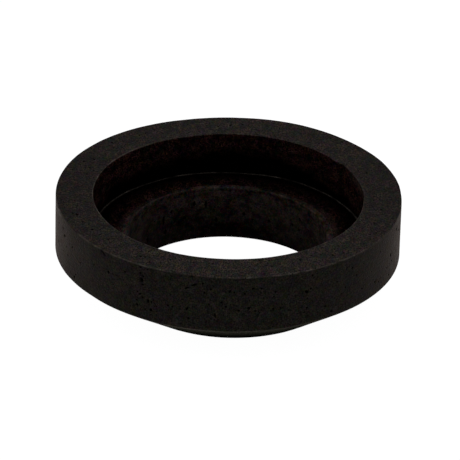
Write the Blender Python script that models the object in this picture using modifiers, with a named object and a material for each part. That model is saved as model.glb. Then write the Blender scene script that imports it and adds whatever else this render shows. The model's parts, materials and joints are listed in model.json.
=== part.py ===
"""Cistern gasket: the tapered sponge rubber ring between a close-coupled cistern and its pan.

One moulded piece, modelled as a section turned about +Z. It stands on the narrow foot of its cone, with
the recess for the flush valve's back nut facing up. The origin is the centre of the foot's flat face.
Blender units are metres.
"""

import math

import bpy
from mathutils import Vector

# The section, from the bore outwards. The radii build on each other.
BORE_FOOT_RADIUS = 0.0266
BORE_DRAFT = 0.0006
FOOT_WIDTH = 0.0020
SHELF_WIDTH = 0.0099
RING_WALL = 0.0091
RECESS_UNDERCUT = 0.0007

# The section, from the bottom up. The heights build on each other.
CONE_HEIGHT = 0.0113
SHELF_THICKNESS = 0.0036
RECESS_DEPTH = 0.0117

# The rounding of the section's corners
EDGE_ROUND = 0.0004
FOOT_ROUND = 0.0003
BORE_MOUTH_ROUND = 0.0009
RECESS_CORNER_FILLET = 0.0003

# How finely the round shapes are cut into flat faces
STEPS_AROUND = 120
EDGE_STEPS = 2
MOUTH_STEPS = 4
MOST_OF_A_SIDE = 0.45
WELD_DISTANCE = 0.00001

# The rubber's finish
RUBBER_COLOUR = (0.012, 0.0105, 0.0095, 1.0)
RUBBER_ROUGHNESS = 0.8

# Radii and heights that follow
BORE_MOUTH_RADIUS = BORE_FOOT_RADIUS - BORE_DRAFT
FOOT_RADIUS = BORE_FOOT_RADIUS + FOOT_WIDTH
RECESS_FLOOR_RADIUS = BORE_MOUTH_RADIUS + SHELF_WIDTH
RECESS_MOUTH_RADIUS = RECESS_FLOOR_RADIUS - RECESS_UNDERCUT
OUTER_RADIUS = RECESS_FLOOR_RADIUS + RING_WALL
SHELF_HEIGHT = CONE_HEIGHT + SHELF_THICKNESS
TOTAL_HEIGHT = SHELF_HEIGHT + RECESS_DEPTH


def clear_scene():
    for item in list(bpy.data.objects):
        bpy.data.objects.remove(item, do_unlink=True)


def rubber():
    material = bpy.data.materials.new("black_sponge_rubber")
    material.use_nodes = True
    shader = material.node_tree.nodes["Principled BSDF"]
    shader.inputs["Base Color"].default_value = RUBBER_COLOUR
    shader.inputs["Roughness"].default_value = RUBBER_ROUGHNESS
    shader.inputs["Metallic"].default_value = 0.0
    material.diffuse_color = RUBBER_COLOUR
    return material


def round_corner(before, corner, after, radius, steps):
    """The points of the arc that takes the place of a corner, tangent to both of its sides."""
    to_before = before - corner
    to_after = after - corner
    half_angle = to_before.angle(to_after) / 2
    side = MOST_OF_A_SIDE * min(to_before.length, to_after.length)
    tangent = min(radius / math.tan(half_angle), side)
    arc_radius = tangent * math.tan(half_angle)
    middle = (to_before.normalized() + to_after.normalized()).normalized()
    centre = corner + middle * (arc_radius / math.sin(half_angle))
    first = (corner + to_before.normalized() * tangent - centre).normalized()
    last = (corner + to_after.normalized() * tangent - centre).normalized()
    return [centre + first.slerp(last, step / steps) * arc_radius for step in range(steps + 1)]


def section_points():
    """The closed outline of the rubber, as (distance from the axis, height), starting at the top outside."""
    corners = (
        (OUTER_RADIUS, TOTAL_HEIGHT, EDGE_ROUND, EDGE_STEPS),
        (OUTER_RADIUS, CONE_HEIGHT, EDGE_ROUND, EDGE_STEPS),
        (FOOT_RADIUS, 0.0, FOOT_ROUND, EDGE_STEPS),
        (BORE_FOOT_RADIUS, 0.0, FOOT_ROUND, EDGE_STEPS),
        (BORE_MOUTH_RADIUS, SHELF_HEIGHT, BORE_MOUTH_ROUND, MOUTH_STEPS),
        (RECESS_FLOOR_RADIUS, SHELF_HEIGHT, RECESS_CORNER_FILLET, EDGE_STEPS),
        (RECESS_MOUTH_RADIUS, TOTAL_HEIGHT, EDGE_ROUND, EDGE_STEPS),
    )
    places = [Vector((radius, height)) for radius, height, _, _ in corners]
    points = []
    for index, (_, _, rounding, steps) in enumerate(corners):
        before = places[index - 1]
        after = places[(index + 1) % len(places)]
        points += round_corner(before, places[index], after, rounding, steps)
    return points


def turned(name, outline, material, collection):
    """A solid of revolution about +Z from a closed outline that lies on the +X side."""
    mesh = bpy.data.meshes.new(name)
    count = len(outline)
    vertices = [(point.x, 0.0, point.y) for point in outline]
    edges = [(index, (index + 1) % count) for index in range(count)]
    mesh.from_pydata(vertices, edges, [])
    mesh.materials.append(material)
    solid = bpy.data.objects.new(name, mesh)
    collection.objects.link(solid)
    screw = solid.modifiers.new("turn", "SCREW")
    screw.axis = "Z"
    screw.angle = math.tau
    screw.steps = STEPS_AROUND
    screw.render_steps = STEPS_AROUND
    screw.use_merge_vertices = True
    screw.merge_threshold = WELD_DISTANCE
    screw.use_smooth_shade = True
    return solid


def main():
    clear_scene()
    collection = bpy.data.collections.new("cistern_gasket")
    bpy.context.scene.collection.children.link(collection)
    turned("gasket", section_points(), rubber(), collection)


main()
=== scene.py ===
import json
import math
import random
from collections import namedtuple

import bmesh
import bpy
import numpy as np
from mathutils import Matrix, Vector, noise


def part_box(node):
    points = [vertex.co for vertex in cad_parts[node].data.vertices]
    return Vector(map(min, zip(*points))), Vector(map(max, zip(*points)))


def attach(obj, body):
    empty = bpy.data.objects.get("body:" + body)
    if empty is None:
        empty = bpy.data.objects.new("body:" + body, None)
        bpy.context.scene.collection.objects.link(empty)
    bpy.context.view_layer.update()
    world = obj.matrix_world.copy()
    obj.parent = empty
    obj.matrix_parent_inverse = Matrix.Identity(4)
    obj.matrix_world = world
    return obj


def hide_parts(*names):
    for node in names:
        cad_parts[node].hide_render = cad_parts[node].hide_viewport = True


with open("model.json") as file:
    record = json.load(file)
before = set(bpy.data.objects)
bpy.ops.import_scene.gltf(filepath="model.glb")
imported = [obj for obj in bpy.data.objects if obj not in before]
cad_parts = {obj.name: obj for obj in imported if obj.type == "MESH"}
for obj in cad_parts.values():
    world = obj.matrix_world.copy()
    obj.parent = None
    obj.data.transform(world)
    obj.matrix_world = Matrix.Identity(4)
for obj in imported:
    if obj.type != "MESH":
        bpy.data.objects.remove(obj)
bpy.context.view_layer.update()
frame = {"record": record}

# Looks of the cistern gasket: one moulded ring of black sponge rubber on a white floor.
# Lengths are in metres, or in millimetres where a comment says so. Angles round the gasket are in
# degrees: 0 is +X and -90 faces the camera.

MM = 0.001

# The camera
CAMERA_PLACE = (0.0, -1.126361, 0.615996)
CAMERA_AIM = (0.00057, 0.0, 0.016258)
CAMERA_ROLL = 1.5069
CAMERA_LENS = 382.95
CAMERA_REACH = 20.0
SENSOR_WIDTH = 36.0

# The floor and the light
FLOOR_RADIUS = 3.0
FLOOR_SIDES = 96
FLOOR_WHITE = 0.9
FLOOR_GLOW = 0.975
FLOOR_SHADE = 0.08
WORLD_WHITE = 1.0
WORLD_LEAN = 0.15

# Sizes that the frame gives
record = frame["record"]
mounts = {mount["name"]: mount for mount in record["mounts"]}
OUTER_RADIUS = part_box("gasket")[1].x
TOTAL_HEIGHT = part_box("gasket")[1].z
SHELF_HEIGHT = mounts["nut_seat"]["pos_m"][2]

# The rest of the section, within 0.2 mm of the solid's
CONE_HEIGHT = 11.3 * MM
FOOT_RADIUS = 28.58 * MM
BORE_FOOT_RADIUS = 26.47 * MM
BORE_MOUTH_RADIUS = 25.8 * MM
RECESS_FLOOR_RADIUS = 35.95 * MM
RECESS_MOUTH_RADIUS = 35.07 * MM

# How the moulded rubber departs from it. The heel is the lowest part of the cone, painted black as the
# contact shadow where it meets the floor, and the gutter ends so many widths of the flash from the
# recess's wall.
SHELF_RISE = 0.5 * MM
BAND_RISE = 0.3 * MM
BAND_RADIUS = 27.5 * MM
GUTTER_RADIUS = 31.4 * MM
GUTTER_DROP = 0.3 * MM
FLASH_WIDTH = 1.1 * MM
FLASH_HEIGHT = 0.45 * MM
FLASH_ROUND = 0.6 * MM
GUTTER_MARGIN = 1.2
HEEL_HEIGHT = 0.6 * MM
EDGE_ROUND = 0.2 * MM
RIM_ROUND = 0.2 * MM
LOWER_EDGE_ROUND = 0.3 * MM
FOOT_ROUND = 0.2 * MM
MOUTH_ROUND = 0.3 * MM
BAND_ROUND = 0.5 * MM
SMALL_ROUND = 0.1 * MM

# How far the circles of some corners lie off the axis, sideways
FOOT_SHIFT = 1.04 * MM
BORE_SHIFT = 0.29 * MM
FLASH_SHIFT = 0.2 * MM
SLIGHT_SHIFT = 0.1 * MM

# The mesh: how many columns it has, how far apart its rows are and how close they come to the corners,
# where its ends are welded together, and over what distance its slope is measured
COLUMNS = 300
CELL = 0.85 * MM
LINE_FADE = 0.15 * MM
MOST_OF_A_CELL = 0.4
MOST_OF_A_SIDE = 0.45
SEAM_ANGLE = 40.0
SEAM_CLEAR = 2.0
WELD_DISTANCE = 0.01 * MM
NORMAL_REACH = 0.02 * MM
LEAST_LENGTH = 1e-12

# The unevenness of the moulded skin, and how much it breaks up the light lines along the edges
LUMP_SINK = 0.7
LUMP_SIZE = 7.0 * MM
LUMP_HEIGHT = 0.03 * MM
RIPPLE_SIZE = 1.6 * MM
RIPPLE_HEIGHT = 0.012 * MM
LINE_BREAKUP = 1.3
LEAST_LINE = 0.2
MOST_LINE = 2.0

# Where the mesh is finer, near the small marks: how far from them, and how long its edges may be
REFINEMENTS = ((0.50 * MM, 0.50 * MM), (0.25 * MM, 0.25 * MM), (0.08 * MM, 0.13 * MM))
REFINED_RADIUS = 1.2 * MM

# One corner of the section: its rounding, in so many steps, the sideways shift of the circle that it
# makes, how much of the rubber's colour shows there, which is painted shade where it is below one, as
# in the gutter by the recess's wall, on the flash, low in the bore, on the foot and on the heel, and the
# side that follows it.
Corner = namedtuple("Corner", "name radius height rounding steps shift_x shift_y tone side")

heel_radius = FOOT_RADIUS + HEEL_HEIGHT * (OUTER_RADIUS - FOOT_RADIUS) / CONE_HEIGHT
flash_radius = RECESS_FLOOR_RADIUS - FLASH_WIDTH / 2
gutter_end = RECESS_FLOOR_RADIUS - FLASH_WIDTH * GUTTER_MARGIN
gutter_height = SHELF_HEIGHT - GUTTER_DROP
flash_top = gutter_height + FLASH_HEIGHT
lip_height = SHELF_HEIGHT + SHELF_RISE
band_height = SHELF_HEIGHT + BAND_RISE
SECTION = (
    Corner("foot", FOOT_RADIUS, 0.0, FOOT_ROUND, 3, FOOT_SHIFT, 0.0, 0.0, "foot"),
    Corner("bore_end", BORE_FOOT_RADIUS, 0.0, FOOT_ROUND, 3, BORE_SHIFT, 0.0, 0.4, "bore"),
    Corner(
        "lip", BORE_MOUTH_RADIUS, lip_height, MOUTH_ROUND, 5, -SLIGHT_SHIFT, SLIGHT_SHIFT, 1.0, "shelf",
    ),
    Corner("band_end", BAND_RADIUS, band_height, BAND_ROUND, 2, 0.0, 0.0, 1.0, "band"),
    Corner("gutter_start", GUTTER_RADIUS, SHELF_HEIGHT, BAND_ROUND, 2, SLIGHT_SHIFT, 0.0, 0.5, "gutter"),
    Corner("gutter_end", gutter_end, gutter_height, SMALL_ROUND, 2, FLASH_SHIFT, 0.0, 0.02, "gutter"),
    Corner("flash", flash_radius, flash_top, FLASH_ROUND, 4, FLASH_SHIFT, 0.0, 0.1, "flash"),
    Corner(
        "recess_floor", RECESS_FLOOR_RADIUS, gutter_height, SMALL_ROUND, 2,
        FLASH_SHIFT, 0.0, 0.02, "recess",
    ),
    Corner("rim", RECESS_MOUTH_RADIUS, TOTAL_HEIGHT, RIM_ROUND, 5, 0.0, 0.0, 1.0, "top"),
    Corner("edge", OUTER_RADIUS, TOTAL_HEIGHT, EDGE_ROUND, 5, 0.0, 0.0, 1.0, "wall"),
    Corner("lower_edge", OUTER_RADIUS, CONE_HEIGHT, LOWER_EDGE_ROUND, 5, 0.0, 0.0, 1.0, "cone"),
    # The heel is painted black: the contact shadow at the floor.
    Corner("heel", heel_radius, HEEL_HEIGHT, SMALL_ROUND, 2, FOOT_SHIFT, 0.0, 0.0, "heel"),
)

# The light lines along the edges: painted highlights on the rim, the flash, the lip and the ring's
# lower edge, and on the top's outer edge wear with a painted highlight at the left: how strong they are,
# and by which share at each angle. They are dark where the share is below zero.
LINES = {
    "rim": (0.9, (
        (-180, 1.0), (-150, 1.0), (-120, 0.9), (-90, 0.6), (-60, 0.8), (-30, 0.7), (-10, 0.3),
        (10, 0.1), (60, 0.0), (100, 0.0), (120, 0.4), (135, 1.0), (160, 1.0), (180, 1.0),
    )),
    "edge": (0.45, (
        (-180, 1.6), (-168, 2.2), (-160, 1.3), (-152, 0.5), (-145, 1.3), (-120, 1.5), (-110, 1.0),
        (-104, 0.4), (-98, 0.4), (-92, 1.3), (-70, 1.6), (-50, 1.5), (-30, 1.0), (-10, 0.0), (0, -0.4),
        (20, -0.8), (160, -0.8), (172, -0.2), (180, 1.6),
    )),
    "lower_edge": (0.8, (
        (-180, 0.2), (-150, 0.4), (-120, 1.0), (-104, 1.3), (-90, 0.85), (-70, 1.0), (-50, 0.7),
        (-20, 0.3), (0, 0.0), (170, 0.0),
    )),
    "flash": (0.8, (
        (-180, 0.8), (-20, 0.7), (19, 0.8), (34, 0.8), (50, 0.7), (60, 0.5), (66, 0.6), (70, 1.4),
        (75, 1.6), (79, 0.7), (90, 0.5), (100, 0.75), (107, 0.9), (112, 1.2), (114.4, 0.3),
        (115.4, 0.0), (116.4, 0.5), (120, 0.7), (130, 0.6), (139.4, 0.8), (140.7, 1.6), (142, 0.7),
        (157, 0.9), (180, 0.8),
    )),
    "lip": (0.25, (
        (-180, 0.3), (0, 0.1), (20, 0.1), (35, 0.15), (50, 0.4), (70, 0.5), (83, 0.4), (95, 0.4),
        (107, 0.4), (120, 0.4), (145, 0.6), (165, 0.5), (180, 0.3),
    )),
}

# How far the edges wander from their circles: the angle, how far outwards and how far up, in mm
WARPS = {
    "edge": (
        (-180, 0.0, 0.0), (-30, 0.0, 0.0), (0, -0.02, 0.0), (4, 0.0, 0.0), (10, 0.19, 0.0),
        (28, 0.48, 0.0), (45, 0.44, 0.0), (65, 0.54, 0.0), (73, 0.44, 0.0), (80, 0.25, 0.0),
        (86, 0.0, 0.0), (93, -0.15, 0.0), (99, -0.31, 0.0), (106, -0.36, 0.0), (113, -0.26, 0.0),
        (123, -0.12, 0.0), (136, 0.0, 0.0), (152, 0.13, 0.0), (172, 0.0, 0.0),
    ),
    "lip": (
        (-180, 0.0, 0.0), (70, 0.0, 0.0), (82, -0.2, 0.0), (90, -0.28, 0.0), (98, -0.2, 0.0),
        (110, 0.0, 0.0),
    ),
    "rim": (
        (-180, 0.14, 0.0), (-150, 0.0, 0.0), (-110, -0.1, 0.0), (-90, -0.2, 0.0), (-70, -0.1, 0.0),
        (-20, 0.05, 0.0), (-9, -0.07, 0.0), (-3, -0.1, 0.0), (4, 0.06, 0.0), (18, -0.03, 0.0),
        (27, -0.02, 0.0), (30, 0.05, 0.0), (32.5, 0.2, 0.0), (34.5, -0.25, 0.0), (37, -0.42, 0.0),
        (39.5, -0.35, 0.0), (43, -0.1, 0.0), (62, -0.1, 0.0), (75, -0.1, 0.0), (90, -0.25, 0.0),
        (105, -0.42, 0.0), (120, -0.2, 0.0), (135, 0.0, 0.0), (150, 0.16, 0.0), (165, 0.1, 0.0),
    ),
    "lower_edge": (
        (-180, 0.0, 0.0), (-150, -0.2, 0.0), (-141, -0.28, 0.0), (-130, 0.0, 0.0), (-122, 0.18, 0.0),
        (-110, 0.0, -0.35), (-90, 0.0, -0.45), (-70, 0.0, -0.35), (-60, 0.12, 0.0), (-30, 0.1, 0.0),
        (0, 0.0, 0.0),
    ),
    "flash": (
        (-180, 0.0, 0.0), (19, 0.0, 0.0), (33, 0.0, -0.1), (40, 0.0, 0.0), (50, 0.0, 0.0),
        (58, 0.0, 0.15), (66, 0.0, 0.17), (73, 0.0, 0.1), (80, 0.0, -0.05), (90, 0.0, -0.1),
        (100, 0.0, 0.0), (114.4, 0.0, 0.08), (115.8, 0.0, -0.12), (118, 0.0, 0.0), (127, 0.0, -0.11),
        (136, 0.0, -0.06), (140.7, 0.0, 0.1), (145, 0.0, 0.05), (157, 0.0, 0.14),
    ),
}

# Painted light and shade: how the rubber's colour is made lighter and darker round the ring, by side and
# angle, for how the light falls on the top face, the shelf and the band
PAINTED_SHADES = {
    "top": ((-90, 1.05), (-45, 0.90), (0, 0.71), (45, 0.82), (90, 0.95), (135, 0.82), (180, 0.69)),
    "shelf": (
        (-90, 0.5), (0, 1.15), (30, 1.0), (50, 0.65), (60, 0.5), (70, 0.5), (80, 0.9), (90, 1.15),
        (105, 1.1), (118, 0.6), (130, 0.4), (145, 0.6), (160, 1.0), (180, 1.2),
    ),
    "band": (
        (-90, 0.6), (0, 1.3), (30, 1.2), (50, 0.8), (60, 0.6), (80, 1.0), (100, 1.2), (125, 1.15),
        (150, 1.1), (180, 1.2),
    ),
}

# Painted shade in the recess: how far down the recess's wall its colour shows before it is painted
# dark, by the angle, in mm, how light that colour is painted, by the angle, over how many mm it
# fades and wanders, and how dark it is painted at most
LIT_DEPTH = (
    (-180, 11.0), (-20, 12.0), (10, 12.0), (30, 9.5), (50, 8.0), (70, 5.5), (90, 5.0), (110, 6.5),
    (125, 8.0), (140, 8.5), (155, 9.0), (180, 11.0),
)
RECESS_SHADE = ((0, 1.2), (45, 1.15), (90, 1.08), (135, 1.15), (180, 1.3))
LIT_FADE = 3.0
LIT_WANDER = 3.5
DARKEST = 0.02

# A look of the rubber: the colours of its lit and its dim patches in linear light, its gloss, roughness
# and dusty sheen, how strongly its red, green and blue vary, how strong its fine specks and its pale
# flecks are, and how deep its grain is.
Look = namedtuple("Look", "name colour dim specular roughness sheen hue specks flecks grain")
# The looks are lit and shaded copies of one rubber: the top's and the underside's colours are painted
# lighter than the wall's, the underside's in place of its reflection of the white floor, the bore's is
# lighter and darkened again by the painted shading, and the recess's look is painted shade.
WALL_LOOK = Look(
    "rubber_wall", (0.0067, 0.0061, 0.0049), (0.0048, 0.0039, 0.0031), 0.016, 0.57, 0.044,
    (0.65, 0.6, 0.6), 2.1, 0.18, 0.18 * MM,
)
TOP_LOOK = Look(
    "rubber_top", (0.0145, 0.0109, 0.0089), (0.0071, 0.0050, 0.0040), 0.02, 0.65, 0.0,
    (1.2, 1.1, 1.1), 3.2, 0.18, 0.26 * MM,
)
CONE_LOOK = Look(
    "rubber_underside", (0.0280, 0.0275, 0.0215), (0.0210, 0.0195, 0.0145), 0.0, 0.80, 0.0,
    (0.9, 0.9, 0.9), 1.4, 0.22, 0.2 * MM,
)
BORE_LOOK = Look(
    "rubber_bore", (0.0128, 0.0120, 0.0104), (0.0090, 0.0032, 0.0026), 0.006, 0.85, 0.0,
    (3.0, 1.3, 1.3), 1.2, 0.06, 0.15 * MM,
)
PAINTED_SHADE_LOOK = Look(
    "rubber_painted_shade", (0.0078, 0.0033, 0.0028), (0.0018, 0.0007, 0.0006), 0.0, 0.90, 0.0,
    (0.6, 0.4, 0.4), 5.0, 0.1, 0.2 * MM,
)
SLOTS = (WALL_LOOK, TOP_LOOK, CONE_LOOK, BORE_LOOK, PAINTED_SHADE_LOOK)

# The look of each side
LOOKS = {
    "foot": PAINTED_SHADE_LOOK,
    "bore": BORE_LOOK,
    "shelf": BORE_LOOK,
    "band": PAINTED_SHADE_LOOK,
    "gutter": PAINTED_SHADE_LOOK,
    "flash": PAINTED_SHADE_LOOK,
    "recess": PAINTED_SHADE_LOOK,
    "top": TOP_LOOK,
    "wall": WALL_LOOK,
    "cone": CONE_LOOK,
    "heel": PAINTED_SHADE_LOOK,
}

# What all looks share
# The colour of the pale marks, which are painted light and highlights in part and real smears and specks
# in part
PALE_COLOUR = (0.020, 0.0172, 0.0150)
SHEEN_COLOUR = (1.0, 0.52, 0.34, 1.0)
SHEEN_ROUGHNESS = 0.35
BLACK = (0.0, 0.0, 0.0)
GRAIN_STRETCH = 1.9

# The noises in the rubber: their size, their detail and how rough they are
PATCH_NOISE = (1.8 * MM, 3.0, 0.6)
GRAIN_NOISE = (0.5 * MM, 2.0, 0.6)
SPECKLE_NOISE = (0.36 * MM, 1.0, 0.5)

# The colour is the dim one where the patches are below the first of these, and the lit one above the
# second. The hues swing by so much.
DIM_BELOW = 0.37
LIT_ABOVE = 0.63
PATCH_HUE = 0.012
GRAIN_HUE = 0.016

# The dots in the rubber: how far apart they may be, how far they reach and which share of them is there
FLECKS = (1.7 * MM, 0.30 * MM, 0.35)
PINHOLES = (1.15 * MM, 0.22 * MM, 0.5)
DOT_CORE = 0.4
# How dark the pinholes are painted, the shade inside them, how deep they sink, and how dark the pores are
# painted
PINHOLE_DARKNESS = 0.8
PINHOLE_DEPTH = 1.5
HOLE_DARKNESS = 0.95

# How the grain breaks up the pale marks, the painted light and highlights among them
BREAKUP_BY_GRAIN = 1.4
LEAST_BREAKUP = 0.3

# How far the roughness varies, between which values of the noise, and how much of that is the speckle
GLOSS_VARIATION = 0.16
GLOSS_NOISE_LOW = 0.25
GLOSS_NOISE_HIGH = 0.75
GLOSS_SPECKLE = 0.6

# A mark on the rubber: the side that it is on, its angle, how far along the side it is (the height on
# an upright side, the radius on a level one), its radius, depth and paleness, its stretch and the
# direction of the stretch, anticlockwise from level as seen from outside.
Mark = namedtuple("Mark", "side angle place radius depth pale stretch turn")
UPRIGHT_SIDES = ("bore", "recess", "wall")

# A pore's radius as a share of half its width, its depth as a share of that radius, and how steep the
# edge of the painted shade in it is
PORE_SPREAD = 1.2
PORE_DEPTH = 1.6
PORE_EDGE = 4

# Pores in the outer wall, by angle, height and width in mm, stretch and direction
WALL_PORES = (
    (-139, 20.9, 0.4, 1, 0), (-132, 21.0, 0.65, 1.2, 90), (-125, 23.1, 0.5, 1, 0),
    (-119, 25.9, 0.5, 1, 0), (-119, 24.2, 0.5, 1, 0), (-118, 23.5, 0.5, 1, 0),
    (-118.5, 22.4, 0.8, 1.4, 120), (-118, 21.1, 0.47, 1, 0), (-120, 18.7, 0.4, 1, 0),
    (-119, 18.3, 0.5, 1, 0), (-118, 17.5, 0.5, 1, 0), (-116, 16.9, 0.6, 1.6, 90),
    (-114.8, 16.9, 0.4, 1, 0), (-120, 15.0, 0.6, 1, 0), (-115, 14.6, 0.68, 1.2, 30),
    (-117, 14.3, 0.34, 1, 0), (-114, 17.6, 0.34, 1, 0), (-113, 16.0, 0.34, 1, 0),
    (-109, 17.0, 0.5, 1, 0), (-107.5, 16.9, 0.47, 1, 0), (-100.4, 23.9, 0.5, 2.8, 25),
    (-102.8, 22.8, 0.44, 2.6, 20), (-97.6, 24.5, 0.5, 1, 0), (-97, 22.0, 0.5, 1, 0),
    (-95, 23.1, 0.5, 1, 0), (-102.6, 17.0, 0.55, 1.5, 40), (-102, 14.4, 0.5, 1, 0),
    (-88.8, 22.7, 0.42, 2.4, 60), (-87.4, 22.4, 0.4, 1, 0), (-84, 22.1, 0.5, 1, 0),
    (-81.3, 23.4, 0.5, 1.3, 0), (-78.5, 23.3, 0.5, 1, 0), (-91.4, 19.6, 0.5, 1, 0),
    (-90, 18.4, 0.5, 1, 0), (-95.5, 18.9, 0.4, 1, 0), (-82.6, 18.0, 0.68, 1.1, 0),
    (-85.8, 17.4, 0.5, 1, 0), (-80.4, 17.1, 0.4, 1.3, 0), (-79.4, 17.0, 0.3, 1, 0),
    (-93.4, 15.9, 0.4, 3.0, 100), (-74.5, 17.3, 0.5, 1, 0), (-74.4, 20.7, 0.4, 1, 0),
    (-74, 22.0, 0.5, 1, 0), (-72, 17.2, 0.4, 1, 0), (-63, 20.5, 0.75, 1.4, -30),
    (-61.5, 21.1, 0.47, 1, 0), (-61, 24.8, 0.5, 1, 0), (-62.7, 18.6, 0.34, 1, 0),
    (-62.8, 15.9, 0.5, 1, 0), (-55.8, 14.9, 0.5, 1, 0), (-53.4, 12.9, 0.62, 1, 0),
    (-49.2, 16.8, 0.4, 1, 0), (-44.7, 23.1, 0.5, 1, 0), (-47.2, 23.9, 0.4, 1, 0),
    (-46.3, 22.5, 0.3, 1, 0), (-42.8, 20.5, 0.4, 1, 0), (-32.4, 15.1, 0.47, 1, 0),
    (-30, 14.3, 0.4, 1, 0), (-29.5, 22.9, 0.4, 1, 0), (-51.4, 20.9, 0.4, 1, 0),
    (-63.8, 14.8, 0.4, 1, 0), (-62.3, 13.6, 0.4, 1, 0), (-134.9, 19.5, 0.36, 1, 0),
    (-129.7, 18.1, 0.36, 1, 0), (-47.6, 18.3, 0.4, 1, 0), (-39.7, 15.6, 0.4, 1, 0),
    (-116.3, 25.9, 0.4, 1, 0), (-120.2, 16.3, 0.45, 1, 0),
)

# Pores in the top face, by angle, radius and width in mm
TOP_PORES = (
    (-161.4, 41.0, 0.7), (-148.7, 40.6, 0.6), (156.3, 41.7, 0.55), (153.0, 39.9, 0.5),
    (160.1, 38.8, 0.45), (165.4, 38.4, 0.45), (90.0, 40.3, 0.6), (85.5, 40.9, 0.55), (126.2, 40.9, 0.5),
    (123.4, 41.1, 0.5), (94.8, 39.7, 0.45), (-61.7, 39.3, 0.55), (-45.4, 42.3, 0.55),
    (-49.6, 41.4, 0.5), (-73.5, 40.2, 0.45), (-122.0, 41.3, 0.5), (21.9, 38.7, 0.5), (-8.6, 40.0, 0.5),
    (-139.1, 40.2, 0.45), (-143.9, 40.3, 0.45), (-155.3, 41.0, 0.4), (-0.2, 39.2, 0.4),
    (-20.5, 40.2, 0.45), (-26.5, 42.5, 0.4), (-31.5, 42.8, 0.4), (-52.8, 39.4, 0.4),
    (-118.5, 39.0, 0.4), (-120.6, 40.9, 0.4), (-117.3, 42.5, 0.45), (-167.9, 40.0, 0.4),
)

# Pale specks in the top face, by angle and radius in mm
TOP_SPECKS = (
    (-169.2, 36.5), (-159.9, 36.6), (-131.4, 39.8), (95.5, 39.1), (91.4, 36.4), (109.7, 39.2),
    (133.5, 36.6), (38.0, 37.8),
)
SPECK_RADIUS = 0.3 * MM
SPECK_PALENESS = 0.5

# Pits in the wall of the bore, by angle, height and width in mm and stretch upwards
BORE_PITS = (
    (131.0, 7.9, 0.7, 3.4), (129.4, 4.3, 0.8, 1.6), (110.5, 10.8, 0.75, 1.7), (103.4, 10.2, 0.55, 3.4),
    (125.3, 9.8, 0.65, 1.5), (97.3, 5.3, 0.8, 1.5), (81.1, 7.4, 0.7, 1.4), (65.8, 6.5, 0.65, 1.2),
    (49.7, 7.7, 0.65, 1.3), (44.5, 7.0, 0.55, 1.2), (144.2, 4.4, 0.7, 1.8), (116.5, 7.0, 0.7, 1.2),
    (120.4, 6.2, 0.6, 1.2), (76.0, 5.9, 0.5, 1.2), (43.6, 10.5, 0.5, 1.2), (97.0, 3.8, 0.6, 1.2),
)

# Smears, streaks and bruises, and painted light and shade: pale where the paleness is above zero, dark
# where it is below
SMEARS_AND_PAINTED_LIGHT = (
    Mark("wall", -101.2, 26.2 * MM, 0.4 * MM, 0.0, -0.3, 3.0, 0),
    Mark("wall", -134.4, 25.9 * MM, 0.5 * MM, 0.15 * MM, -0.5, 2.6, -30),
    Mark("wall", -160.2, 23.6 * MM, 0.6 * MM, 0.1 * MM, -0.5, 1.0, 0),
    Mark("wall", -105.4, 15.2 * MM, 0.5 * MM, 0.0, 0.2, 7.0, 55),
    Mark("wall", -106.6, 12.4 * MM, 0.5 * MM, 0.0, 0.2, 4.0, -38),
    # Painted shadow under the lip of the bore
    Mark("bore", 90.0, 14.55 * MM, 0.5 * MM, 0.0, -0.25, 60.0, 0),
    # Pale marks high on the wall's left side
    Mark("wall", -167.5, 26.2 * MM, 0.4 * MM, 0.0, 3.0, 1.5, 0),
    Mark("wall", -164.5, 25.8 * MM, 0.5 * MM, 0.0, 1.2, 2.5, -10),
    # Painted light: broad pale patches on the left and right of the wall
    Mark("wall", -158.0, 21.0 * MM, 4.0 * MM, 0.0, 0.3, 1.4, 90),
    Mark("wall", -24.0, 20.0 * MM, 4.0 * MM, 0.0, 0.15, 1.5, 90),
    Mark("wall", -146.0, 20.0 * MM, 8.0 * MM, 0.0, 0.12, 1.0, 0),
    Mark("wall", -34.0, 20.0 * MM, 8.0 * MM, 0.0, 0.06, 1.0, 0),
    # Painted light and shade in the bore: darker low down, lighter higher up
    Mark("bore", 116.0, 6.0 * MM, 4.5 * MM, 0.0, -0.22, 1.4, 0),
    Mark("bore", 93.0, 3.0 * MM, 3.5 * MM, 0.0, -0.35, 3.0, 0),
    Mark("bore", 72.0, 2.0 * MM, 3.0 * MM, 0.0, -0.25, 2.0, 0),
    Mark("bore", 91.0, 8.5 * MM, 2.0 * MM, 0.0, -0.2, 1.5, 30),
    Mark("bore", 106.0, 10.5 * MM, 2.0 * MM, 0.0, 0.25, 1.6, 20),
    Mark("bore", 72.0, 10.0 * MM, 5.0 * MM, 0.0, 0.13, 1.5, 0),
    Mark("bore", 48.0, 8.0 * MM, 6.0 * MM, 0.0, 0.16, 1.2, 0),
    Mark("bore", 152.0, 9.0 * MM, 4.5 * MM, 0.0, 0.25, 1.4, 90),
    # Painted light on the band beside the lip and on the recess's wall at the right
    Mark("band", 14.0, 28.2 * MM, 2.0 * MM, 0.0, 0.26, 9.5, 0),
    Mark("band", 172.0, 28.0 * MM, 1.4 * MM, 0.0, 0.16, 11.0, 0),
    Mark("recess", 15.0, 25.4 * MM, 2.2 * MM, 0.0, 0.35, 5.5, 0),
    # Pale smears on the top face
    Mark("top", -119.0, 37.6 * MM, 0.8 * MM, 0.0, 0.3, 3.5, 90),
    Mark("top", -125.0, 37.0 * MM, 0.6 * MM, 0.0, 0.3, 2.5, 70),
    Mark("top", -93.5, 39.0 * MM, 0.5 * MM, 0.0, 0.25, 4.0, 0),
    Mark("top", -110.0, 43.6 * MM, 0.5 * MM, 0.0, 0.2, 6.0, 0),
    Mark("top", -40.0, 37.3 * MM, 1.0 * MM, 0.0, 0.2, 5.0, 0),
)

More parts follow.
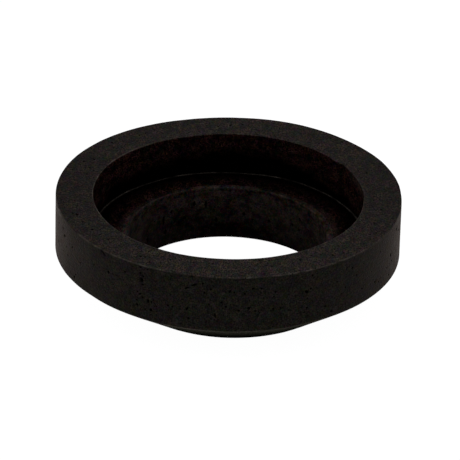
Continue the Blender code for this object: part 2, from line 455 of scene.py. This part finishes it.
# Pores scattered all over, mostly where the photo doesn't show the rubber: the side, between which
# angles and places, how many, and between which widths. They are drawn out by the stretch at most, and
# the higher the power, the more of them are small.
SCATTER = (
    ("wall", -25.0, 215.0, 12.5 * MM, 26.0 * MM, 110, 0.34 * MM, 0.75 * MM),
    ("top", -180.0, 180.0, 36.2 * MM, 44.0 * MM, 40, 0.30 * MM, 0.42 * MM),
    ("bore", -180.0, 180.0, 2.0 * MM, 14.0 * MM, 50, 0.34 * MM, 0.6 * MM),
    ("cone", -180.0, 180.0, 30.5 * MM, 43.5 * MM, 50, 0.34 * MM, 0.6 * MM),
)
SCATTER_STRETCH = 1.5
SMALL_POWER = 3
SEED = 7


def round_corner(before, corner, after, radius, steps):
    """The points of the arc that takes the place of a corner, tangent to both of its sides."""
    to_before = before - corner
    to_after = after - corner
    half_angle = to_before.angle(to_after) / 2
    side = MOST_OF_A_SIDE * min(to_before.length, to_after.length)
    tangent = min(radius / math.tan(half_angle), side)
    arc_radius = tangent * math.tan(half_angle)
    middle = (to_before.normalized() + to_after.normalized()).normalized()
    centre = corner + middle * (arc_radius / math.sin(half_angle))
    first = (corner + to_before.normalized() * tangent - centre).normalized()
    last = (corner + to_after.normalized() * tangent - centre).normalized()
    return [centre + first.slerp(last, step / steps) * arc_radius for step in range(steps + 1)]


def shared_values(corner, other, share):
    """What a point between two corners of the section takes from both: shift, painted shading and warps.
    """
    first = [corner.shift_x, corner.shift_y, corner.tone, *[float(corner.name == name) for name in WARPS]]
    last = [other.shift_x, other.shift_y, other.tone, *[float(other.name == name) for name in WARPS]]
    return [start + (end - start) * share for start, end in zip(first, last)]


def steps_between(length):
    """Where the rows between two corners are: even, but for one by each end, where the lines stop."""
    count = max(2, round(length / CELL))
    near = min(LINE_FADE / length, MOST_OF_A_CELL / count)
    return [near, *[step / count for step in range(1, count)], 1 - near]


def section_rows():
    """The section as rows of numbers, one for each ring of the mesh, and where each side starts."""
    places = [Vector((corner.radius, corner.height)) for corner in SECTION]
    arcs = []
    for index, corner in enumerate(SECTION):
        after = places[(index + 1) % len(places)]
        arcs.append(round_corner(places[index - 1], places[index], after, corner.rounding, corner.steps))
    rows = []
    sides = []
    starts = []
    for index, corner in enumerate(SECTION):
        following = (index + 1) % len(SECTION)
        other = SECTION[following]
        starts.append(len(rows) + corner.steps // 2)
        for point in arcs[index]:
            lines = [float(corner.name == name) for name in LINES]
            rows.append((point.x, point.y, *shared_values(corner, corner, 0.0), *lines))
        start = arcs[index][-1]
        end = arcs[following][0]
        first_row = len(rows) - 1
        for share in steps_between((end - start).length):
            point = start.lerp(end, share)
            lines = [0.0 for name in LINES]
            rows.append((point.x, point.y, *shared_values(corner, other, share), *lines))
        sides.append((corner.side, first_row, len(rows)))
    rows.append(rows[0])
    return np.array(rows), sides, starts


ROWS, SIDES, STARTS = section_rows()
STEPS = np.hypot(*np.diff(ROWS[:, :2], axis=0).T)
ALONG = np.concatenate(([0.0], np.cumsum(STEPS)))
RADIUS, HEIGHT, SHIFT_X, SHIFT_Y, PAINTED_SHADE_COLUMN = range(5)
FIRST_WARP = PAINTED_SHADE_COLUMN + 1
FIRST_LINE = FIRST_WARP + len(WARPS)


def reading(column, along):
    """The section's value in a column, at each way along its outline."""
    return np.interp(along, ALONG, ROWS[:, column])


def normals(along):
    """The outward direction of the section at each point, as (radial, up)."""
    before = along - NORMAL_REACH
    after = along + NORMAL_REACH
    radial = reading(RADIUS, after) - reading(RADIUS, before)
    up = reading(HEIGHT, after) - reading(HEIGHT, before)
    length = np.maximum(np.hypot(radial, up), LEAST_LENGTH)
    return -up / length, radial / length


def place_of(mark):
    """Where a mark's centre is on the flat strip, and which way the strip runs there."""
    first, last = next(entry[1:] for entry in SIDES if entry[0] == mark.side)
    column = HEIGHT if mark.side in UPRIGHT_SIDES else RADIUS
    values = ROWS[first:last + 1, column]
    order = np.argsort(values)
    along = float(np.interp(mark.place, values[order], ALONG[first:last + 1][order]))
    return math.radians(mark.angle), along, 1.0 if values[-1] > values[0] else -1.0


def shares(mark, angle, along, margin=0.0):
    """The points that a mark reaches, and how far from its centre they are as a share of its radius."""
    centre, middle, direction = place_of(mark)
    across = ((angle - centre + math.pi) % math.tau - math.pi) * reading(RADIUS, middle)
    up = (along - middle) * direction
    reach = mark.radius * mark.stretch + margin
    width = mark.radius + margin
    near = np.flatnonzero((np.abs(across) < reach) & (np.abs(up) < reach))
    cos_turn = math.cos(math.radians(mark.turn))
    sin_turn = math.sin(math.radians(mark.turn))
    lengthways = across[near] * cos_turn + up[near] * sin_turn
    sideways = up[near] * cos_turn - across[near] * sin_turn
    return near, np.hypot(lengthways / reach, sideways / width)


def flat_strip():
    """The whole surface laid out flat: x is the angle, y the way along the section's outline."""
    bm = bmesh.new()
    columns = []
    for column in range(COLUMNS + 1):
        angle = math.radians(SEAM_ANGLE) + math.tau * column / COLUMNS
        columns.append([bm.verts.new((angle, along, 0.0)) for along in ALONG])
    for left, right in zip(columns, columns[1:]):
        for row in range(len(ALONG) - 1):
            bm.faces.new((left[row], left[row + 1], right[row + 1], right[row]))
    return bm


def refine(bm, marks, reach, longest):
    """Halves the long edges near the marks."""
    edges = list(bm.edges)
    ends = np.array([(*edge.verts[0].co.xy, *edge.verts[1].co.xy) for edge in edges])
    angle = (ends[:, 0] + ends[:, 2]) / 2
    along = (ends[:, 1] + ends[:, 3]) / 2
    lengths = np.hypot((ends[:, 2] - ends[:, 0]) * reading(RADIUS, along), ends[:, 3] - ends[:, 1])
    close = np.zeros(len(edges), bool)
    for mark in marks:
        near, share = shares(mark, angle, along, reach)
        close[near[share < 1]] = True
    chosen = [edges[index] for index in np.flatnonzero(close & (lengths > longest))]
    bmesh.ops.subdivide_edges(bm, edges=chosen, cuts=1, use_grid_fill=True)


def by_angle(table, degrees, column=1):
    """A table's value at each angle, all the way round."""
    rows = np.array(table)
    return np.interp(degrees, rows[:, 0], rows[:, column], period=360)


def on_side(name, along):
    """Which points lie on a side of the section."""
    first, last = next(entry[1:] for entry in SIDES if entry[0] == name)
    return (along >= ALONG[first]) & (along <= ALONG[last])


def painted_shading_at(degrees, along, height, lumps):
    """The painted light and shade: how much of the rubber's colour shows, by side and angle, with the
    recess's wall painted dark below its lit depth.
    """
    tone = reading(PAINTED_SHADE_COLUMN, along)
    for side, table in PAINTED_SHADES.items():
        tone = np.where(on_side(side, along), tone * by_angle(table, degrees), tone)
    depth = (TOTAL_HEIGHT - height) / MM
    lit = by_angle(LIT_DEPTH, degrees) + LIT_WANDER * lumps
    fade = np.clip((lit + LIT_FADE / 2 - depth) / LIT_FADE, DARKEST, 1.0)
    return np.where(on_side("recess", along), fade * by_angle(RECESS_SHADE, degrees), tone)


def values_by_mark(marks, angle, along):
    """How deep the marks sink each point, how dark the painted shade in a pore makes it, and how pale."""
    sink = np.zeros(len(angle))
    pit = np.zeros(len(angle))
    pale = np.zeros(len(angle))
    for mark in marks:
        near, share = shares(mark, angle, along)
        bowl = np.clip(1 - share ** 2, 0, 1)
        sink[near] = np.maximum(sink[near], bowl * mark.depth)
        if mark.pale:
            pale[near] += bowl ** 2 * mark.pale
        else:
            pit[near] = np.maximum(pit[near], np.clip(bowl * PORE_EDGE, 0, 1))
    return sink, pit, pale


def rolled_up(bm, marks):
    """Sinks the pores, rolls the strip up into the ring and welds its seams and the rows that coincide."""
    layers = [bm.verts.layers.float.new(name) for name in ("pit", "tone", "pale")]
    verts = list(bm.verts)
    flat = np.array([vert.co.xy for vert in verts])
    angle, along = flat[:, 0], flat[:, 1]
    degrees = np.degrees(angle)
    sink, pit, pale = values_by_mark(marks, angle, along)
    radius = reading(RADIUS, along)
    height = reading(HEIGHT, along)
    for column, table in enumerate(WARPS.values(), FIRST_WARP):
        share = reading(column, along) * MM
        radius = radius + share * by_angle(table, degrees, 1)
        height = height + share * by_angle(table, degrees, 2)
    x = radius * np.cos(angle) + reading(SHIFT_X, along)
    y = radius * np.sin(angle) + reading(SHIFT_Y, along)
    places = [Vector(place) for place in zip(x, y, height)]
    lumps = np.array([noise.noise(place / LUMP_SIZE) for place in places])
    ripples = np.array([noise.noise(place / RIPPLE_SIZE) for place in places])
    broken_up = np.clip(1 + LINE_BREAKUP * ripples, LEAST_LINE, MOST_LINE)
    # The light lines, painted highlights for the most part, are added to the paleness.
    for column, (strength, table) in enumerate(LINES.values(), FIRST_LINE):
        pale += reading(column, along) * by_angle(table, degrees) * strength * broken_up
    out = (lumps - LUMP_SINK) * LUMP_HEIGHT + (ripples - LUMP_SINK) * RIPPLE_HEIGHT - sink
    radial, up = normals(along)
    ways = zip(radial * np.cos(angle), radial * np.sin(angle), up)
    tone = painted_shading_at(degrees, along, height, lumps)
    for vert, place, way, distance, values in zip(verts, places, ways, out, zip(pit, tone, pale)):
        vert.co = place + Vector(way) * float(distance)
        for layer, value in zip(layers, values):
            vert[layer] = float(value)
    bmesh.ops.remove_doubles(bm, verts=bm.verts, dist=WELD_DISTANCE)


def gasket_mesh(marks):
    """The whole ring, with its marks, and each side's look as a material slot."""
    bm = flat_strip()
    small = [mark for mark in marks if mark.radius < REFINED_RADIUS]
    for reach, longest in REFINEMENTS:
        refine(bm, small, reach, longest)
    starts = ALONG[STARTS]
    for face in bm.faces:
        face.smooth = True
        corner = SECTION[int(np.searchsorted(starts, face.calc_center_median().y)) - 1]
        face.material_index = SLOTS.index(LOOKS[corner.side])
    rolled_up(bm, marks)
    mesh = bpy.data.meshes.new("gasket_rubber")
    bm.to_mesh(mesh)
    bm.free()
    return mesh


def pore(side, angle, place, width, stretch=1.0, turn=0.0):
    """A round or drawn-out hole."""
    radius = width / 2 * PORE_SPREAD
    return Mark(side, angle, place, radius, radius * PORE_DEPTH, 0.0, stretch, turn)


def all_marks():
    """The marks that the photo shows, and the pores that are scattered clear of the seam."""
    marks = list(SMEARS_AND_PAINTED_LIGHT)
    for angle, height, width, stretch, turn in WALL_PORES:
        marks.append(pore("wall", angle, height * MM, width * MM, stretch, turn))
    for angle, radius, width in TOP_PORES:
        marks.append(pore("top", angle, radius * MM, width * MM))
    for angle, height, width, stretch in BORE_PITS:
        marks.append(pore("bore", angle, height * MM, width * MM, stretch, 90))
    for angle, radius in TOP_SPECKS:
        marks.append(Mark("top", angle, radius * MM, SPECK_RADIUS, 0.0, SPECK_PALENESS, 1.0, 0.0))
    chance = random.Random(SEED)
    for side, first, last, low, high, count, smallest, largest in SCATTER:
        for _ in range(count):
            angle = chance.uniform(first, last)
            place = chance.uniform(low, high)
            width = smallest + (largest - smallest) * chance.random() ** SMALL_POWER
            from_seam = (angle - SEAM_ANGLE + 180) % 360 - 180
            if abs(from_seam) > SEAM_CLEAR:
                stretch = chance.uniform(1.0, SCATTER_STRETCH)
                marks.append(pore(side, angle, place, width, stretch, chance.uniform(0, 180)))
    return marks


def add_node(tree, kind, **values):
    node = tree.nodes.new(kind)
    for name, value in values.items():
        setattr(node, name, value)
    return node


def plain_material(name):
    """A new material, with its node tree and its shader."""
    material = bpy.data.materials.new(name)
    material.use_nodes = True
    return material, material.node_tree, material.node_tree.nodes["Principled BSDF"]


def drawn_out_coordinates(tree):
    """The object's own coordinates, with the grain longer from front to back than from side to side."""
    coordinates = add_node(tree, "ShaderNodeTexCoord")
    drawn = add_node(tree, "ShaderNodeMapping", name="coordinates")
    drawn.inputs["Scale"].default_value = (1.0, 1 / GRAIN_STRETCH, 1.0)
    tree.links.new(coordinates.outputs["Object"], drawn.inputs["Vector"])


def noise_node(tree, size, detail, roughness):
    """A noise in the object's drawn-out coordinates."""
    node = add_node(tree, "ShaderNodeTexNoise")
    node.inputs["Scale"].default_value = 1 / size
    node.inputs["Detail"].default_value = detail
    node.inputs["Roughness"].default_value = roughness
    tree.links.new(tree.nodes["coordinates"].outputs["Vector"], node.inputs["Vector"])
    return node


def vector_step(tree, operation, *operands):
    """One step of arithmetic on colours: each operand is a socket or three numbers."""
    node = add_node(tree, "ShaderNodeVectorMath", operation=operation)
    for socket, operand in zip(node.inputs, operands):
        if isinstance(operand, tuple):
            socket.default_value = operand
        else:
            tree.links.new(operand, socket)
    return node.outputs["Vector"]


def number_step(tree, operation, *operands):
    """One step of arithmetic on numbers: each operand is a socket or a number."""
    node = add_node(tree, "ShaderNodeMath", operation=operation)
    for socket, operand in zip(node.inputs, operands):
        if isinstance(operand, (int, float)):
            socket.default_value = operand
        else:
            tree.links.new(operand, socket)
    return node.outputs["Value"]


def dots(tree, spacing, reach, share):
    """A mask of small round dots: one in some of the cells of a grid that is shaken up."""
    cells = add_node(tree, "ShaderNodeTexVoronoi")
    cells.inputs["Scale"].default_value = 1 / spacing
    tree.links.new(tree.nodes["coordinates"].outputs["Vector"], cells.inputs["Vector"])
    edge = add_node(tree, "ShaderNodeMapRange")
    edge.inputs["From Min"].default_value = reach / spacing
    edge.inputs["From Max"].default_value = reach / spacing * DOT_CORE
    tree.links.new(cells.outputs["Distance"], edge.inputs["Value"])
    split = add_node(tree, "ShaderNodeSeparateColor")
    tree.links.new(cells.outputs["Color"], split.inputs["Color"])
    chosen = number_step(tree, "LESS_THAN", split.outputs["Red"], share)
    return number_step(tree, "MULTIPLY", edge.outputs["Result"], chosen)


def attribute(tree, name):
    """A value that the mesh carries at each of its points."""
    return add_node(tree, "ShaderNodeAttribute", attribute_name=name).outputs["Fac"]


def patchy_colour(tree, look, patches, grain):
    """The look's dim and lit colours in patches, with the red, green and blue wandering apart."""
    lit = add_node(tree, "ShaderNodeMapRange")
    lit.inputs["From Min"].default_value = DIM_BELOW
    lit.inputs["From Max"].default_value = LIT_ABOVE
    tree.links.new(patches.outputs["Fac"], lit.inputs["Value"])
    change = tuple(light - dim for light, dim in zip(look.colour, look.dim))
    colour = vector_step(tree, "MULTIPLY_ADD", lit.outputs["Result"], change, look.dim)
    for source, strength in ((patches, PATCH_HUE), (grain, GRAIN_HUE)):
        amount = tuple(strength * share for share in look.hue)
        middle = tuple(-value / 2 for value in amount)
        swing = vector_step(tree, "MULTIPLY_ADD", source.outputs["Color"], amount, middle)
        colour = vector_step(tree, "ADD", colour, swing)
    return vector_step(tree, "MAXIMUM", colour, BLACK)


def rubber_colour(tree, look, patches, grain, speckle, holes):
    """The base colour: patches and specks, painted shading, pale marks, flecks, and holes painted in
    shade.
    """
    light = number_step(tree, "MULTIPLY_ADD", speckle.outputs["Fac"], 2 * look.specks, 1 - look.specks)
    light = number_step(tree, "MAXIMUM", light, 0.0)
    colour = vector_step(tree, "MULTIPLY", patchy_colour(tree, look, patches, grain), light)
    # The painted light and shade that the mesh carries makes the colour lighter and darker.
    tone = attribute(tree, "tone")
    shaded_colour = vector_step(tree, "MULTIPLY", colour, tone)
    flecks = number_step(tree, "MULTIPLY", dots(tree, *FLECKS), look.flecks)
    shaded_flecks = number_step(tree, "MULTIPLY", flecks, tone)
    broken_up = number_step(tree, "MULTIPLY_ADD", grain.outputs["Fac"], BREAKUP_BY_GRAIN, LEAST_BREAKUP)
    lightness = number_step(tree, "MULTIPLY_ADD", attribute(tree, "pale"), broken_up, shaded_flecks)
    # The pale marks, painted light and highlights among them, add a pale colour.
    pale_and_painted_light = vector_step(tree, "MULTIPLY", PALE_COLOUR, lightness)
    dressed = vector_step(tree, "ADD", shaded_colour, pale_and_painted_light)
    solid = number_step(tree, "SUBTRACT", 1.0, number_step(tree, "MULTIPLY", holes, HOLE_DARKNESS))
    return vector_step(tree, "MAXIMUM", vector_step(tree, "MULTIPLY", dressed, solid), BLACK)


def rubber_roughness(tree, look, patches, speckle, holes):
    """The roughness: it varies with the speckle and the patches, and the holes are matt."""
    rough = add_node(tree, "ShaderNodeMapRange")
    rough.inputs["From Min"].default_value = GLOSS_NOISE_LOW
    rough.inputs["From Max"].default_value = GLOSS_NOISE_HIGH
    rough.inputs["To Min"].default_value = look.roughness - GLOSS_VARIATION
    rough.inputs["To Max"].default_value = min(1.0, look.roughness + GLOSS_VARIATION)
    rest = number_step(tree, "MULTIPLY", patches.outputs["Fac"], 1 - GLOSS_SPECKLE)
    mixed = number_step(tree, "MULTIPLY_ADD", speckle.outputs["Fac"], GLOSS_SPECKLE, rest)
    tree.links.new(mixed, rough.inputs["Value"])
    return number_step(tree, "MAXIMUM", rough.outputs["Result"], holes)


def rubber_relief(tree, look, grain, pinholes):
    """The fine grain and the pinholes, as a bump that is too small for the mesh."""
    sunk = number_step(tree, "MULTIPLY", pinholes, PINHOLE_DEPTH)
    bump = add_node(tree, "ShaderNodeBump")
    bump.inputs["Strength"].default_value = 1.0
    bump.inputs["Distance"].default_value = look.grain
    tree.links.new(number_step(tree, "SUBTRACT", grain.outputs["Fac"], sunk), bump.inputs["Height"])
    return bump.outputs["Normal"]


def rubber(look):
    """The material of one look."""
    material, tree, shader = plain_material(look.name)
    drawn_out_coordinates(tree)
    patches = noise_node(tree, *PATCH_NOISE)
    grain = noise_node(tree, *GRAIN_NOISE)
    speckle = noise_node(tree, *SPECKLE_NOISE)
    pinholes = dots(tree, *PINHOLES)
    # The pinholes and pores are painted dark, the shade inside them.
    dark = number_step(tree, "MULTIPLY", pinholes, PINHOLE_DARKNESS)
    holes = number_step(tree, "MAXIMUM", attribute(tree, "pit"), dark)
    colour = rubber_colour(tree, look, patches, grain, speckle, holes)
    roughness = rubber_roughness(tree, look, patches, speckle, holes)
    tree.links.new(colour, shader.inputs["Base Color"])
    tree.links.new(roughness, shader.inputs["Roughness"])
    tree.links.new(rubber_relief(tree, look, grain, pinholes), shader.inputs["Normal"])
    shader.inputs["Specular IOR Level"].default_value = look.specular
    shader.inputs["Sheen Weight"].default_value = look.sheen
    shader.inputs["Sheen Tint"].default_value = SHEEN_COLOUR
    shader.inputs["Sheen Roughness"].default_value = SHEEN_ROUGHNESS
    return material


def floor_white():
    """White to the light, and a white that the shadow darkens to the camera, to gloss and to glass."""
    material, tree, shader = plain_material("floor_white")
    links = tree.links
    shader.inputs["Base Color"].default_value = (FLOOR_WHITE, FLOOR_WHITE, FLOOR_WHITE, 1.0)
    shader.inputs["Roughness"].default_value = 1.0
    shader.inputs["Specular IOR Level"].default_value = 0.0
    path = add_node(tree, "ShaderNodeLightPath")
    seen = path.outputs["Is Camera Ray"]
    for kind in ("Is Transmission Ray", "Is Glossy Ray"):
        seen = number_step(tree, "MAXIMUM", seen, path.outputs[kind])
    glow = add_node(tree, "ShaderNodeEmission")
    glow.inputs["Strength"].default_value = FLOOR_GLOW
    shade = add_node(tree, "ShaderNodeBsdfDiffuse")
    shade.inputs["Color"].default_value = (FLOOR_SHADE, FLOOR_SHADE, FLOOR_SHADE, 1.0)
    both = add_node(tree, "ShaderNodeAddShader")
    links.new(glow.outputs[0], both.inputs[0])
    links.new(shade.outputs[0], both.inputs[1])
    choice = add_node(tree, "ShaderNodeMixShader")
    links.new(seen, choice.inputs["Fac"])
    links.new(shader.outputs[0], choice.inputs[1])
    links.new(both.outputs[0], choice.inputs[2])
    links.new(choice.outputs[0], tree.nodes["Material Output"].inputs["Surface"])
    return material


def white_floor():
    """The floor that the gasket stands on."""
    bm = bmesh.new()
    bmesh.ops.create_circle(bm, cap_ends=True, segments=FLOOR_SIDES, radius=FLOOR_RADIUS)
    mesh = bpy.data.meshes.new("floor")
    bm.to_mesh(mesh)
    bm.free()
    mesh.materials.append(floor_white())
    floor = bpy.data.objects.new("floor", mesh)
    bpy.context.scene.collection.objects.link(floor)


def white_world():
    """White light from all round, a little stronger from the left."""
    world = bpy.data.worlds.new("white_room")
    world.use_nodes = True
    tree = world.node_tree
    background = tree.nodes["Background"]
    coordinates = add_node(tree, "ShaderNodeTexCoord")
    direction = add_node(tree, "ShaderNodeSeparateXYZ")
    tree.links.new(coordinates.outputs["Generated"], direction.inputs["Vector"])
    level = number_step(tree, "MULTIPLY_ADD", direction.outputs["X"], -WORLD_LEAN, WORLD_WHITE)
    tree.links.new(level, background.inputs["Strength"])
    background.inputs["Color"].default_value = (1.0, 1.0, 1.0, 1.0)
    bpy.context.scene.world = world


def camera():
    """The camera, far off and with a long lens, as the photo's was."""
    data = bpy.data.cameras.new("camera")
    data.lens = CAMERA_LENS
    data.sensor_width = SENSOR_WIDTH
    data.clip_end = CAMERA_REACH
    eye = bpy.data.objects.new("camera", data)
    bpy.context.scene.collection.objects.link(eye)
    place = Vector(CAMERA_PLACE)
    look = (Vector(CAMERA_AIM) - place).to_track_quat("-Z", "Y").to_matrix()
    turned = look @ Matrix.Rotation(math.radians(CAMERA_ROLL), 3, "Z")
    eye.matrix_world = Matrix.LocRotScale(place, turned, None)
    bpy.context.scene.camera = eye


def main():
    camera()
    white_floor()
    white_world()
    bpy.context.scene.view_settings.view_transform = "Standard"
    mesh = gasket_mesh(all_marks())
    piece = bpy.data.objects.new("gasket_rubber", mesh)
    bpy.context.scene.collection.objects.link(piece)
    for look in SLOTS:
        mesh.materials.append(rubber(look))
    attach(piece, "root")
    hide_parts("gasket")


main()
